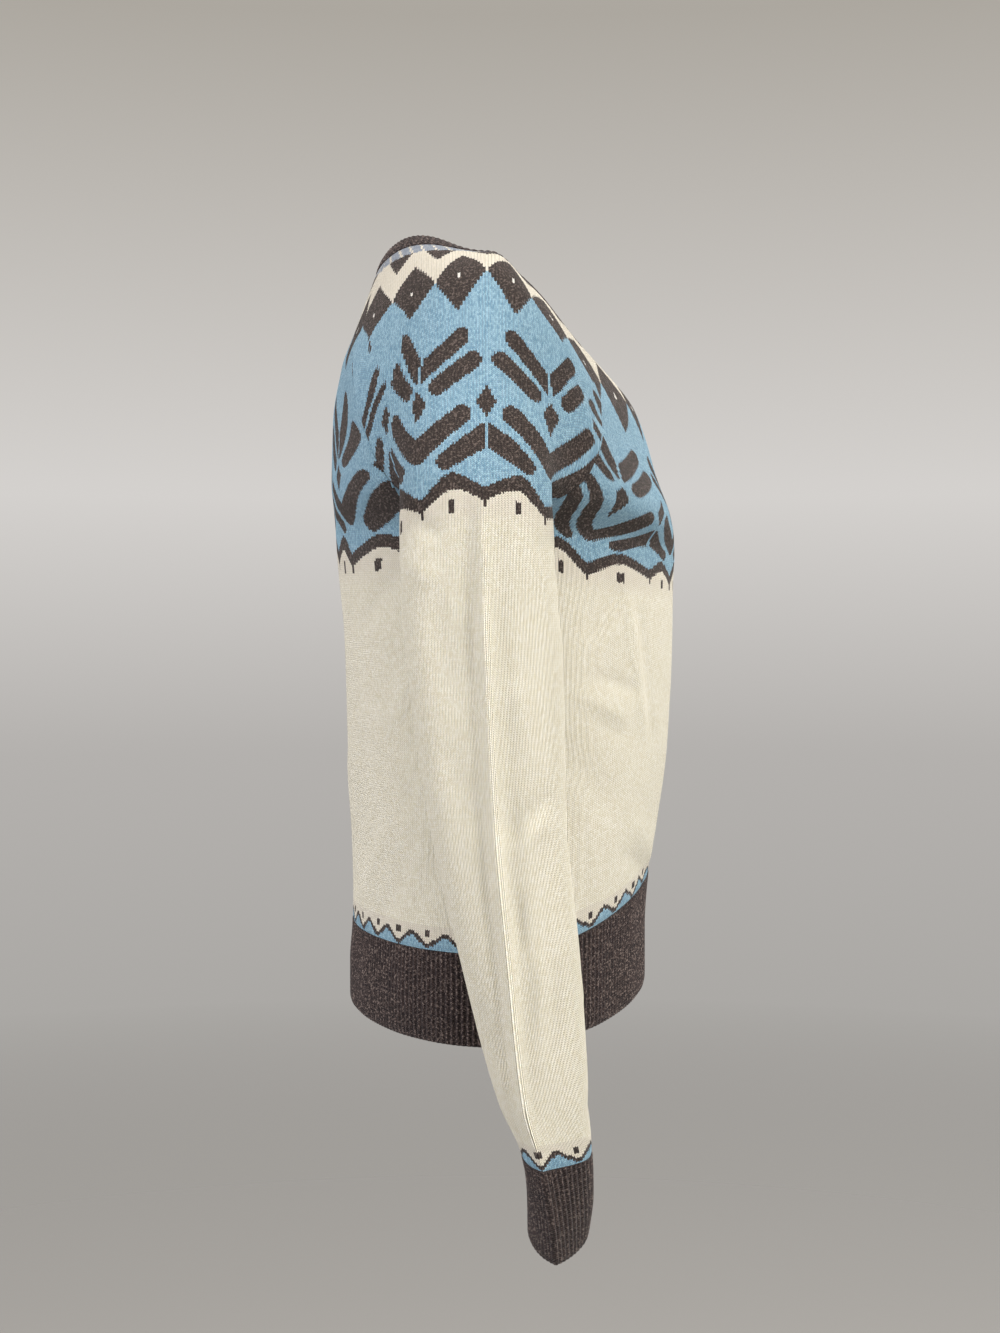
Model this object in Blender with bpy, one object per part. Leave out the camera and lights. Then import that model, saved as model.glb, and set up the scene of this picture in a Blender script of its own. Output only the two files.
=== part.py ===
"""A fair isle sweater, worn on a general figure with nothing inside it.

Metres, +Z up.  The origin is midway between the shoulders, level with the top of
the neck edge.  The wearer's front is -Y, their back +Y and their right -X.

The garment is a raglan pullover.  Its cloth is described by guide points along
each knitted course: `course` is the distance knitted down from the neck edge, in
millimetres.  Above the armpit one ring of guide points runs from the centre back
over the shoulder to the centre front.  Below it the body and each sleeve have
sections of their own.  Smooth curves through the guide points give every course,
and every piece of the sweater is a wall cut from those surfaces.
"""

from collections import namedtuple

import bmesh
import bpy
import numpy as np

MM = 0.001
GARMENT = "fair_isle_sweater"

# Cloth
PANEL_WALL = 0.0022
RIB_WALL = 0.0024
RIB_RELIEF = 0.0005
SEAM_GAP = 0.0003

# Courses where one piece ends and the next begins, in millimetres from the neck edge
NECKBAND_END = 7
ARMPIT = 183
BODY_RIB_TOP, BODY_HEM = 487, 556
SLEEVE_RIB_TOP, CUFF_END = 673, 747

# Ribs of the 1x1 ribbing, counted over each piece
HEM_RIBS_A_PANEL = 108
CUFF_RIBS = 44
NECK_RIBS = 128

# Guide points in millimetres as (out from the centre plane, y, z), and each as it
# lies on the wearer's right.  `back_edge`, `ridge` and `front_edge` are the sleeve's
# outline as seen from its side, and `back_seam` and `front_seam` the raglan seams.
YokeCourse = namedtuple("YokeCourse",
                        "course back back_seam back_edge ridge front_edge front_seam front")
YOKE = [
    YokeCourse(0, (0, 74, -12), (52, 62, -2), (82, 35, 1), (95, -15, -14), (88, -38, -29),
               (70, -60, -48), (0, -98, -93)),
    YokeCourse(24, (0, 82, -39), (70, 74, -40), (113, 39, -30), (123, -15, -23), (117, -49, -48),
               (100, -79, -80), (0, -119, -108)),
    YokeCourse(48, (0, 92, -67), (86, 82, -70), (132, 43, -55), (146, -15, -39), (136, -57, -67),
               (113, -92, -108), (0, -134, -127)),
    YokeCourse(72, (0, 102, -94), (100, 89, -98), (144, 47, -80), (158, -15, -65), (148, -63, -90),
               (122, -101, -137), (0, -143, -150)),
    YokeCourse(110, (0, 111, -138), (122, 85, -130), (155, 54, -117), (172, -15, -108), (157, -64, -124),
               (136, -101, -160), (0, -152, -182)),
    YokeCourse(150, (0, 112, -188), (143, 69, -176), (166, 52, -162), (187, -15, -154), (168, -63, -166),
               (147, -91, -190), (0, -163, -214)),
    YokeCourse(168, (0, 110, -210), (149, 53, -200), (171, 49, -184), (193, -15, -174), (173, -62, -188),
               (150, -72, -207), (0, -166, -231)),
    YokeCourse(183, (0, 109, -229), (150, 4, -232), (176, 48, -204), (198, -15, -192), (177, -62, -208),
               (150, 4, -232), (0, -167, -246)),
]

BodyCourse = namedtuple("BodyCourse", "course back side front")
BODY = [
    BodyCourse(197, (0, 108, -246), (150, 3, -247), (0, -166, -260)),
    BodyCourse(262, (0, 102, -313), (152, -4, -313), (0, -165, -318)),
    BodyCourse(360, (0, 99, -409), (155, -10, -410), (0, -161, -398)),
    BodyCourse(440, (0, 95, -487), (161, -16, -492), (0, -152, -462)),
    BodyCourse(487, (0, 95, -538), (166, -19, -542), (0, -145, -500)),
    BodyCourse(522, (0, 97, -570), (168, -20, -576), (0, -142, -543)),
    BodyCourse(556, (0, 97, -602), (166, -20, -610), (0, -142, -588)),
]

# Sections of the sleeve as a tube.  `crease` and `inner_crease` are half the angle
# at which the cloth folds there: 90 is round, and less is a pressed fold.
SleeveCourse = namedtuple("SleeveCourse", "course ridge front_y back_y inner crease inner_crease")
SLEEVE = [
    SleeveCourse(197, (202, -14, -208), -63, 48, (153, 2, -247), 84, 88),
    SleeveCourse(262, (206, -15, -272), -66, 46, (157, -4, -302), 76, 86),
    SleeveCourse(303, (208, -16, -313), -70, 43, (159, -8, -338), 72, 84),
    SleeveCourse(417, (213, -21, -427), -72, 28, (165, -16, -440), 68, 80),
    SleeveCourse(530, (221, -31, -540), -82, 3, (174, -34, -547), 64, 76),
    SleeveCourse(630, (226, -42, -639), -88, -23, (174, -54, -640), 54, 66),
    SleeveCourse(673, (225, -54, -683), -90, -40, (163, -64, -675), 46, 58),
    SleeveCourse(710, (217, -60, -719), -91, -44, (152, -68, -705), 44, 54),
    SleeveCourse(747, (205, -64, -755), -88, -45, (139, -67, -733), 44, 54),
]

# How full each curve between two guide points is, against the straight line
BODY_FULLNESS = {"front": 1.28, "back": 1.12}
SLEEVE_FULLNESS = 1.12
# The same for a quarter of an oval, against its own width and depth: 1.66 is round
OVAL = {"front": 1.7, "back": 1.62}
# Over these courses the body's curve and the sleeve's part company at the raglan seam
SEAM_TURN_START, SEAM_TURN_END = 105, 176

# There the sleeve leaves the seam with only this share of the straight way to its edge
VALLEY_LEAN = np.array([0.35, 1.0, 1.0])
# and at its edge it loses this share of the straight way from the seam to the ridge
EDGE_TURN = np.array([0.0, 0.8, 0.0])

# Courses at which each piece has a row of points
YOKE_ROWS = [13, 24, 36, 48, 60, 72, 91, 110, 130, 150, 160, 168, 176, 183]
BODY_ROWS = [197, 230, 262, 310, 360, 400, 440, 465, 487]
SLEEVE_ROWS = [197, 218, 240, 262, 303, 345, 388, 430, 480, 530, 580, 630, 652, 673]
NECKBAND_ROWS = [0, 3.5, NECKBAND_END]
HEM_ROWS = [BODY_RIB_TOP, 522, BODY_HEM]
CUFF_ROWS = [SLEEVE_RIB_TOP, 692, 710, 729, CUFF_END]
PANEL_COLUMNS = 24
SLEEVE_COLUMNS = 24
SAMPLES_A_SPAN = 24
# Points across a ribbed face to each point across the plain inside behind it
HEM_RATIO = 8
BAND_RATIO = 4

# The sign of x on either side of the wearer
RIGHT, LEFT = -1, 1


def smooth_columns(stations, values, at):
    """Read smooth curves through `values` at the courses `at`, with no overshoot.

    Each column of `values` is a cubic in every interval.  Its slope at a station
    is the harmonic mean of the two intervals' slopes, or zero where they disagree.
    """
    stations = np.asarray(stations, float)
    values = np.asarray(values, float).reshape(len(stations), -1)
    at = np.asarray(at, float)
    steps = np.diff(stations)[:, None]
    rise = np.diff(values, axis=0) / steps
    product = rise[:-1] * rise[1:]
    total = rise[:-1] + rise[1:]
    inner = np.where(product > 0, 2 * product / np.where(product > 0, total, 1), 0)
    slope = np.vstack([rise[:1], inner, rise[-1:]])
    k = np.clip(np.searchsorted(stations, at, side="right") - 1, 0, len(stations) - 2)
    width = steps[k]
    t = (at - stations[k])[:, None] / width
    return ((2 * t**3 - 3 * t**2 + 1) * values[k] + (t**3 - 2 * t**2 + t) * width * slope[k]
            + (3 * t**2 - 2 * t**3) * values[k + 1] + (t**3 - t**2) * width * slope[k + 1])


def unit(vectors):
    """Scale vectors to length one."""
    length = np.linalg.norm(vectors, axis=-1, keepdims=True)
    return vectors / np.maximum(length, 1e-12)


def ease(low, high, at):
    """Rise smoothly from 0 at `low` to 1 at `high`."""
    t = np.clip((np.asarray(at, float) - low) / (high - low), 0, 1)
    return t * t * (3 - 2 * t)


def guide(courses, upper_name, lower=(), lower_name=""):
    """One guide line, from its column of the yoke's table on into a lower table."""
    stations = [row.course for row in YOKE] + [row.course for row in lower]
    points = [getattr(row, upper_name) for row in YOKE] + [getattr(row, lower_name) for row in lower]
    return smooth_columns(stations, points, courses) * MM


def spans_to_row(spans, fractions):
    """Join cubic spans end to end and read them at even fractions of their length.

    A span is (start, end, leave, arrive): (courses, 3) arrays of its two ends and of
    its tangents there, whose lengths say how strongly each pulls.
    """
    t = np.linspace(0, 1, SAMPLES_A_SPAN + 1)[None, :, None]
    pieces = []
    for start, end, leave, arrive in spans:
        curve = ((2 * t**3 - 3 * t**2 + 1) * start[:, None] + (t**3 - 2 * t**2 + t) * leave[:, None]
                 + (3 * t**2 - 2 * t**3) * end[:, None] + (t**3 - t**2) * arrive[:, None])
        pieces.append(curve if not pieces else curve[:, 1:])
    return read_evenly(np.concatenate(pieces, axis=1), fractions)


def read_evenly(dense, fractions):
    """Read each row of points at the same fractions of its own length."""
    steps = np.linalg.norm(np.diff(dense, axis=1), axis=2)
    run = np.concatenate([np.zeros((len(dense), 1)), np.cumsum(steps, axis=1)], axis=1)
    rows = [[np.interp(fractions * along[-1], along, line[:, axis]) for axis in range(3)]
            for line, along in zip(dense, run)]
    return np.array(rows).transpose(0, 2, 1)


def distance(start, end):
    """Straight distance between points, as a column."""
    return np.linalg.norm(end - start, axis=1, keepdims=True)


def body_half(which, courses, fractions):
    """Half of the front or back, from its centre to its seam on the wearer's right.

    High on the shoulder its curve runs straight on into the sleeve.  Toward the
    armpit and below it, it turns to a quarter of an oval that ends along the side.
    """
    centre = guide(courses, which, BODY, which)
    seam = guide(courses, which + "_seam", BODY, "side")
    edge = guide(np.minimum(courses, ARMPIT), which + "_edge")
    turned = ease(SEAM_TURN_START, SEAM_TURN_END, courses)[:, None]
    across = np.abs(seam - centre) * np.array([1.0, 0.0, 0.0])
    lengthwise = (seam - centre) * np.array([0.0, 1.0, 0.0])
    reach = BODY_FULLNESS[which] * distance(centre, seam)
    leave = (1 - turned) * reach * np.array([1.0, 0.0, 0.0]) + turned * OVAL[which] * across
    arrive = (1 - turned) * reach * unit(edge - centre) + turned * OVAL[which] * lengthwise
    return spans_to_row([(centre, seam, leave, arrive)], fractions)


def sleeve_half(which, courses, fractions):
    """Half of a sleeve, from its seam or its inner fold out to the ridge."""
    sign = -1 if which == "front" else 1
    ridge = guide(courses, "ridge", SLEEVE, "ridge")
    root = guide(courses, which + "_seam", SLEEVE, "inner")
    stations = [row.course for row in YOKE] + [row.course for row in SLEEVE]
    edges = [getattr(row, which + "_edge") for row in YOKE]
    for row in SLEEVE:
        out = (row.ridge[0] + row.inner[0]) / 2
        edges.append((out, getattr(row, which + "_y"), (row.ridge[2] + row.inner[2]) / 2))
    edge = smooth_columns(stations, edges, courses) * MM
    creases = [(90, 90)] * len(YOKE) + [(row.crease, row.inner_crease) for row in SLEEVE]
    crease, inner_crease = np.radians(smooth_columns(stations, creases, courses)).T
    zeros = np.zeros_like(crease)
    centre = guide(np.minimum(courses, ARMPIT), which)
    turned = ease(SEAM_TURN_START, SEAM_TURN_END, courses)[:, None]
    tube = ease(ARMPIT - 4, ARMPIT + 8, courses)[:, None]
    straight_on = unit(edge - centre)
    into_valley = unit((edge - root) * VALLEY_LEAN)
    round_inside = np.stack([np.cos(inner_crease), sign * np.sin(inner_crease), zeros], axis=1)
    leave = unit((1 - tube) * ((1 - turned) * straight_on + turned * into_valley) + tube * round_inside)
    through = unit((ridge - root) * (1 - turned * EDGE_TURN))
    at_ridge = np.stack([np.cos(crease), -sign * np.sin(crease), zeros], axis=1)
    first = SLEEVE_FULLNESS * distance(root, edge)
    second = SLEEVE_FULLNESS * distance(edge, ridge)
    return spans_to_row([(root, edge, first * leave, first * through),
                         (edge, ridge, second * through, second * at_ridge)], fractions)


def mirrored(grid, side):
    """Put a grid whose x is `out from the centre plane` on one side of the wearer."""
    return grid * np.array([side, 1.0, 1.0])


def front_or_back(which, courses, columns):
    """A whole front or back, from the right seam across to the left one."""
    fractions = np.linspace(0, 1, columns // 2 + 1)
    half = body_half(which, np.asarray(courses, float), fractions)
    right = mirrored(half, RIGHT)[:, ::-1]
    left = mirrored(half, LEFT)
    return np.concatenate([right, left[:, 1:]], axis=1)


def sleeve_grid(side, courses, columns):
    """A whole sleeve, from its front seam over the ridge to its back seam."""
    fractions = np.linspace(0, 1, columns // 2 + 1)
    courses = np.asarray(courses, float)
    front = mirrored(sleeve_half("front", courses, fractions), side)
    back = mirrored(sleeve_half("back", courses, fractions), side)[:, ::-1]
    return np.concatenate([front, back[:, 1:]], axis=1)


def outward_normals(grid, facing):
    """Unit normals of a grid, turned to the side that `facing` points of it lie on."""
    across = np.gradient(grid, axis=1)
    down = np.gradient(grid, axis=0)
    return unit(np.cross(across, down)) * facing


def trimmed(grid, normals, columns=True, rows=()):
    """Draw a piece's edges back by half the gap at a seam, square to the seam."""
    grid = grid.copy()
    half = SEAM_GAP / 2
    for column, inside in ((0, 1), (-1, -2)) if columns else ():
        along = np.gradient(grid[:, column], axis=0)
        square = unit(np.cross(normals[:, column], along))
        toward = np.sum(square * (grid[:, inside] - grid[:, column]), axis=1, keepdims=True)
        grid[:, column] += square * np.where(toward > 0, half, -half)
    if "top" in rows:
        grid[0] += unit(grid[1] - grid[0]) * half
    if "bottom" in rows:
        grid[-1] += unit(grid[-2] - grid[-1]) * half
    return grid


def build_wall(name, outer, inner, closed_ring, material, collection):
    """Make one closed wall from an outer grid and an inner grid with fewer columns."""
    rows, outer_columns = outer.shape[:2]
    inner_columns = inner.shape[1]
    outer_spans = outer_columns if closed_ring else outer_columns - 1
    inner_spans = inner_columns if closed_ring else inner_columns - 1
    ratio = outer_spans // inner_spans
    points = np.concatenate([outer.reshape(-1, 3), inner.reshape(-1, 3)])
    start = rows * outer_columns

    def outer_at(i, j):
        return i * outer_columns + j % outer_columns

    def inner_at(i, j):
        return start + i * inner_columns + j % inner_columns

    faces = []
    for i in range(rows - 1):
        for j in range(outer_spans):
            faces.append((outer_at(i, j), outer_at(i, j + 1), outer_at(i + 1, j + 1), outer_at(i + 1, j)))
        for j in range(inner_spans):
            faces.append((inner_at(i, j), inner_at(i + 1, j), inner_at(i + 1, j + 1), inner_at(i, j + 1)))
        if not closed_ring:
            last, inner_last = outer_columns - 1, inner_columns - 1
            faces.append((outer_at(i, 0), outer_at(i + 1, 0), inner_at(i + 1, 0), inner_at(i, 0)))
            faces.append((outer_at(i, last), inner_at(i, inner_last), inner_at(i + 1, inner_last),
                          outer_at(i + 1, last)))
    for i in (0, rows - 1):
        for j in range(inner_spans):
            rim = [outer_at(i, j * ratio + k) for k in range(ratio + 1)]
            rim += [inner_at(i, j + 1), inner_at(i, j)]
            faces.append(tuple(reversed(rim)) if i == 0 else tuple(rim))
    mesh = bpy.data.meshes.new(name)
    mesh.from_pydata([tuple(point) for point in points], [], faces)
    shell = bmesh.new()
    shell.from_mesh(mesh)
    bmesh.ops.recalc_face_normals(shell, faces=shell.faces)
    shell.to_mesh(mesh)
    shell.free()
    mesh.shade_smooth()
    mesh.set_sharp_from_angle(angle=np.radians(50))
    mesh.materials.append(material)
    obj = bpy.data.objects.new(name, mesh)
    collection.objects.link(obj)
    return obj


def ribbed(grid, normals):
    """Raise every second column of points, so that the wall's face is ribbed."""
    lift = np.where(np.arange(grid.shape[1]) % 2, RIB_RELIEF, -RIB_RELIEF)
    return grid + normals * lift[None, :, None]


def knit_material(name, colour, roughness):
    """A plain matt yarn colour."""
    material = bpy.data.materials.new(name)
    material.use_nodes = True
    shader = material.node_tree.nodes["Principled BSDF"]
    shader.inputs["Base Color"].default_value = (*colour, 1)
    shader.inputs["Roughness"].default_value = roughness
    shader.inputs["Metallic"].default_value = 0
    return material


class Surfaces:
    """The four surfaces of the garment with normals that agree along every seam."""

    def __init__(self, body_courses, sleeve_courses, body_columns, sleeve_columns):
        self.body_courses = list(body_courses)
        self.sleeve_courses = list(sleeve_courses)
        self.front = front_or_back("front", body_courses, body_columns)
        self.back = front_or_back("back", body_courses, body_columns)
        self.sleeves = {side: sleeve_grid(side, sleeve_courses, sleeve_columns) for side in (RIGHT, LEFT)}
        self.front_normals = outward_normals(self.front, -1)
        self.back_normals = outward_normals(self.back, 1)
        self.sleeve_normals = {RIGHT: outward_normals(self.sleeves[RIGHT], 1),
                               LEFT: outward_normals(self.sleeves[LEFT], -1)}
        self.share_normals()

    def share_normals(self):
        """Give pieces that meet one normal at the seam.

        Toward the armpit the body and the sleeve part like the sides of a valley, and
        there each keeps its own.
        """
        above = sum(course < ARMPIT for course in self.body_courses)
        kept = ease(SEAM_TURN_START, SEAM_TURN_END, self.body_courses[:above])[:, None]
        front, back = self.front_normals, self.back_normals
        for side, column in ((RIGHT, 0), (LEFT, -1)):
            sleeve = self.sleeve_normals[side]
            for panel, sleeve_column in ((front, 0), (back, -1)):
                own, sleeve_own = panel[:above, column].copy(), sleeve[:above, sleeve_column].copy()
                mean = unit(own + sleeve_own)
                panel[:above, column] = unit(kept * own + (1 - kept) * mean)
                sleeve[:above, sleeve_column] = unit(kept * sleeve_own + (1 - kept) * mean)
            front[above:, column] = back[above:, column] = unit(front[above:, column] + back[above:, column])
            sleeve[above:, 0] = sleeve[above:, -1] = unit(sleeve[above:, 0] + sleeve[above:, -1])


def neck_ring(courses, columns):
    """The neck edge as closed rings, and their normals.

    It runs over the right shoulder, across the back, over the left shoulder and
    back across the front, read at even steps along each ring.
    """
    span = 60
    right, left = sleeve_grid(RIGHT, courses, span), sleeve_grid(LEFT, courses, span)
    back, front = front_or_back("back", courses, span), front_or_back("front", courses, span)
    around = np.concatenate([right, back[:, 1:], left[:, -2::-1], front[:, -2::-1]], axis=1)
    ring = read_evenly(around, np.arange(columns) / columns)
    across = np.roll(ring, -1, axis=1) - np.roll(ring, 1, axis=1)
    return ring, unit(np.cross(across, np.gradient(ring, axis=0)))


def rows_between(courses, first, last):
    """The slice of rows whose courses run from `first` to `last`."""
    inside = [i for i, course in enumerate(courses) if first <= course <= last]
    return slice(inside[0], inside[-1] + 1)


def build_sweater():
    """Build all nine pieces."""
    collection = bpy.data.collections.new(GARMENT)
    bpy.context.scene.collection.children.link(collection)
    jacquard = knit_material("jacquard_knit", (0.62, 0.66, 0.66), 0.9)
    cream_knit = knit_material("cream_knit", (0.72, 0.70, 0.60), 0.9)
    marl_rib = knit_material("marl_rib", (0.11, 0.075, 0.065), 0.92)

    body_courses = NECKBAND_ROWS + YOKE_ROWS + BODY_ROWS + HEM_ROWS[1:]
    sleeve_courses = NECKBAND_ROWS + YOKE_ROWS + SLEEVE_ROWS + CUFF_ROWS[1:]
    coarse = Surfaces(body_courses, sleeve_courses, PANEL_COLUMNS, SLEEVE_COLUMNS)

    def panel(name, grid, normals, courses, last, material):
        rows = rows_between(courses, NECKBAND_END, last)
        outer = trimmed(grid[rows], normals[rows], rows=("top", "bottom"))
        inner = outer - normals[rows] * PANEL_WALL
        return build_wall(name, outer, inner, False, material, collection)

    panel("front", coarse.front, coarse.front_normals, body_courses, BODY_RIB_TOP, jacquard)
    panel("back", coarse.back, coarse.back_normals, body_courses, BODY_RIB_TOP, jacquard)
    for side, name in ((RIGHT, "sleeve_right"), (LEFT, "sleeve_left")):
        panel(name, coarse.sleeves[side], coarse.sleeve_normals[side], sleeve_courses, SLEEVE_RIB_TOP,
              cream_knit)

    def rib_piece(name, grid, normals, ratio):
        outer = trimmed(grid, normals, rows=("top",))
        inner = outer - normals * RIB_WALL
        build_wall(name, ribbed(outer, normals), inner[:, ::ratio], False, marl_rib, collection)

    neck, neck_normals = neck_ring(NECKBAND_ROWS, 2 * NECK_RIBS)
    neck = trimmed(neck, neck_normals, columns=False, rows=("bottom",))
    neck_inner = (neck - neck_normals * RIB_WALL)[:, ::BAND_RATIO]
    build_wall("neckband", ribbed(neck, neck_normals), neck_inner, True, marl_rib, collection)

    # The extra row above the hem's top gives its first row's normals a full height
    hem_courses = [HEM_ROWS[0] - 1] + HEM_ROWS
    fine = Surfaces(hem_courses, CUFF_ROWS, 2 * HEM_RIBS_A_PANEL, 2 * CUFF_RIBS)
    rib_piece("hem_rib_front", fine.front[1:], fine.front_normals[1:], HEM_RATIO)
    rib_piece("hem_rib_back", fine.back[1:], fine.back_normals[1:], HEM_RATIO)
    for side, name in ((RIGHT, "cuff_right"), (LEFT, "cuff_left")):
        rib_piece(name, fine.sleeves[side], fine.sleeve_normals[side], BAND_RATIO)
    return collection


for leftover in list(bpy.data.objects):
    bpy.data.objects.remove(leftover, do_unlink=True)
build_sweater()
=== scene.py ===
"""Looks of a fair isle raglan sweater, fitted over its solids.

Metres, +Z up, origin midway between the shoulders at the top of the neck edge.
The wearer's front is -Y, their back +Y and their right -X.

Every piece is a thin wall on the form of its solid.  The same guide points as the
solid's give each knitted course as a smooth curve, and the pieces are read from
those curves at many thousand points.  Each point also knows its place in the
knitting, in wales and courses, and the yarns, the stitches and the fair isle chart
all follow that.
"""

from collections import namedtuple

import bpy
import numpy as np
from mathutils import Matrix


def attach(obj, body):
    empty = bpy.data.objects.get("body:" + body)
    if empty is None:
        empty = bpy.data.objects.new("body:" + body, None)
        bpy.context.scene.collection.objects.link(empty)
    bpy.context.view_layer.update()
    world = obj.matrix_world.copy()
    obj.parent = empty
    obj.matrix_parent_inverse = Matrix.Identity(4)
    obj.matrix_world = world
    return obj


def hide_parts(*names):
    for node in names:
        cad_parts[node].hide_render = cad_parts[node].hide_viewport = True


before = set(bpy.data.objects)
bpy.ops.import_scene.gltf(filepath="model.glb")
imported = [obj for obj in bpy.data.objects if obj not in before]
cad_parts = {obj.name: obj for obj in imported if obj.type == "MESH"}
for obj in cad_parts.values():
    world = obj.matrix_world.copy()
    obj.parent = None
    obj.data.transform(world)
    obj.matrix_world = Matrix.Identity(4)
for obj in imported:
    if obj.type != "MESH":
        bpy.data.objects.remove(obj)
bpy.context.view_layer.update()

MM = 0.001
RIGHT, LEFT = -1, 1

# Knitting gauge: one stitch is one wale wide and one course high, in millimetres
WALE = 2.1
COURSE = 1.66
# Half the width of the fair isle repeat, from one axis to the next: 22 wales
HALF_REPEAT = 46.2

# The fair isle chart.  Places are millimetres out from the motif's own axis and down
# from the neck edge.  A leaf is as wide as its radii to both sides of its middle line.
Leaf = namedtuple("Leaf", "start end radius end_radius")
FIRST_LEAF = Leaf((0, 117), (26.8, 96), 7.0, 6.5)
SECOND_LEAF = Leaf((14, 127.5), (36.5, 112), 6.3, 6.2)
ARM_OF_V = Leaf((0, 172), (30.6, 147.5), 7.4, 6.2)
LOW_LEAF = Leaf((0, 161), (27.5, 179), 7.6, 5.2)
Diamond = namedtuple("Diamond", "top middle bottom half_width")
DIAMOND_ON_A = Diamond(128, 139, 152, 6.8)
DIAMOND_ON_B = Diamond(129, 139.5, 150, 6.6)
# From the neck down: the pale band and the slanted lines across it, the triangles
# below it, the row of large diamonds with a white dot in each, the zigzag border under
# the light blue ground, and the ticks below that
BAND_END = 13.2
LINE_SPACING, LINE_WIDTH, LINE_SLOPE = 14, 2.6, 1.3
TRIANGLE_POINT, TRIANGLE_SLOPE = 24, 1.45
LARGE_TOP, LARGE_WIDEST, LARGE_POINT = 24.5, 50, 77
LARGE_HALF_WIDTH, LARGE_SLOPE = 22.4, 0.83
DOT_TOP, DOT_END = 48.4, 53
BORDER_MIDDLE = 190.0
BORDER_HALF_HEIGHT = 4.6
PEAK_ROUNDING = 6
LOWEST_ON_A = 3.3
TICK_TOP, TICK_END = 202, 210.5
# Above the rib: the height of the hills, the height of the zone they are drawn in, and
# where the ticks between them begin and end
HILL_HEIGHT, HILL_ZONE = 10.0, 16
LOW_TICK_START, LOW_TICK_END = 8.0, 12.6

# Cloth, in metres
PANEL_WALL = 0.0022
RIB_WALL = 0.0024
SEAM_GAP = 0.0003

# Courses where one piece ends and the next begins, in millimetres from the neck edge
NECKBAND_END = 7
ARMPIT = 183
BODY_RIB_TOP, BODY_HEM = 487, 556
SLEEVE_RIB_TOP, CUFF_END = 673, 747

# Ribs of the 1x1 ribbing, counted over each piece, and the points across one rib
HEM_RIBS_A_PANEL = 108
CUFF_RIBS = 44
NECK_RIBS = 128
POINTS_A_RIB = 6
RIB_DEPTH = 0.00055
EDGE_ROUNDING, EDGE_DRAWN_IN = 2.2, 0.0008

# Points across a panel, and the step from one row of points to the next, in millimetres
FRONT_COLUMNS, BACK_COLUMNS, SLEEVE_COLUMNS = 168, 150, 136
BODY_STEP, SLEEVE_STEP, RIB_STEP, NECK_STEP = 2.2, 2.4, 3.0, 1.0

# Grain of the wool, as features to a metre of cloth: the soft clouds of its dye are
# 22 mm apart, the flecks of the marl 1.6 mm, and the hairs are drawn as coarse as 0.7
# to 1.1 mm, so that they show
DYE_CLOUDS = 45
MARL_FLECKS = 640
HAIRS, RIB_HAIRS, PURL_HAIRS = 1400, 1200, 900
# How far a stitch stands up on the outside, and on the ribs and the purl side, in metres
STITCH_RELIEF, FLAT_RELIEF = 0.0014, 0.0009
# How steeply the legs of a stitch's V rise, and a full turn in radians
LEG_SLOPE = 1.3
FULL_TURN = 6.2832

# Guide points in millimetres as (out from the centre plane, y, z), as in the solids
YokeCourse = namedtuple("YokeCourse",
                        "course back back_seam back_edge ridge front_edge front_seam front")
YOKE = [
    YokeCourse(0, (0, 74, -12), (52, 62, -2), (82, 35, 1), (95, -15, -14), (88, -38, -29),
               (70, -60, -48), (0, -98, -93)),
    YokeCourse(24, (0, 82, -39), (70, 74, -40), (113, 39, -30), (123, -15, -23), (117, -49, -48),
               (100, -79, -80), (0, -119, -108)),
    YokeCourse(48, (0, 92, -67), (86, 82, -70), (132, 43, -55), (146, -15, -39), (136, -57, -67),
               (113, -92, -108), (0, -134, -127)),
    YokeCourse(72, (0, 102, -94), (100, 89, -98), (144, 47, -80), (158, -15, -65), (148, -63, -90),
               (122, -101, -137), (0, -143, -150)),
    YokeCourse(110, (0, 111, -138), (122, 85, -130), (155, 54, -117), (172, -15, -108), (157, -64, -124),
               (136, -101, -160), (0, -152, -182)),
    YokeCourse(150, (0, 112, -188), (143, 69, -176), (166, 52, -162), (187, -15, -154), (168, -63, -166),
               (147, -91, -190), (0, -163, -214)),
    YokeCourse(168, (0, 110, -210), (149, 53, -200), (171, 49, -184), (193, -15, -174), (173, -62, -188),
               (150, -72, -207), (0, -166, -231)),
    YokeCourse(183, (0, 109, -229), (150, 4, -232), (176, 48, -204), (198, -15, -192), (177, -62, -208),
               (150, 4, -232), (0, -167, -246)),
]

BodyCourse = namedtuple("BodyCourse", "course back side front")
BODY = [
    BodyCourse(197, (0, 108, -246), (150, 3, -247), (0, -166, -260)),
    BodyCourse(262, (0, 102, -313), (152, -4, -313), (0, -165, -318)),
    BodyCourse(360, (0, 99, -409), (155, -10, -410), (0, -161, -398)),
    BodyCourse(440, (0, 95, -487), (161, -16, -492), (0, -152, -462)),
    BodyCourse(487, (0, 95, -538), (166, -19, -542), (0, -145, -500)),
    BodyCourse(522, (0, 97, -570), (168, -20, -576), (0, -142, -543)),
    BodyCourse(556, (0, 97, -602), (166, -20, -610), (0, -142, -588)),
]

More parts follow.
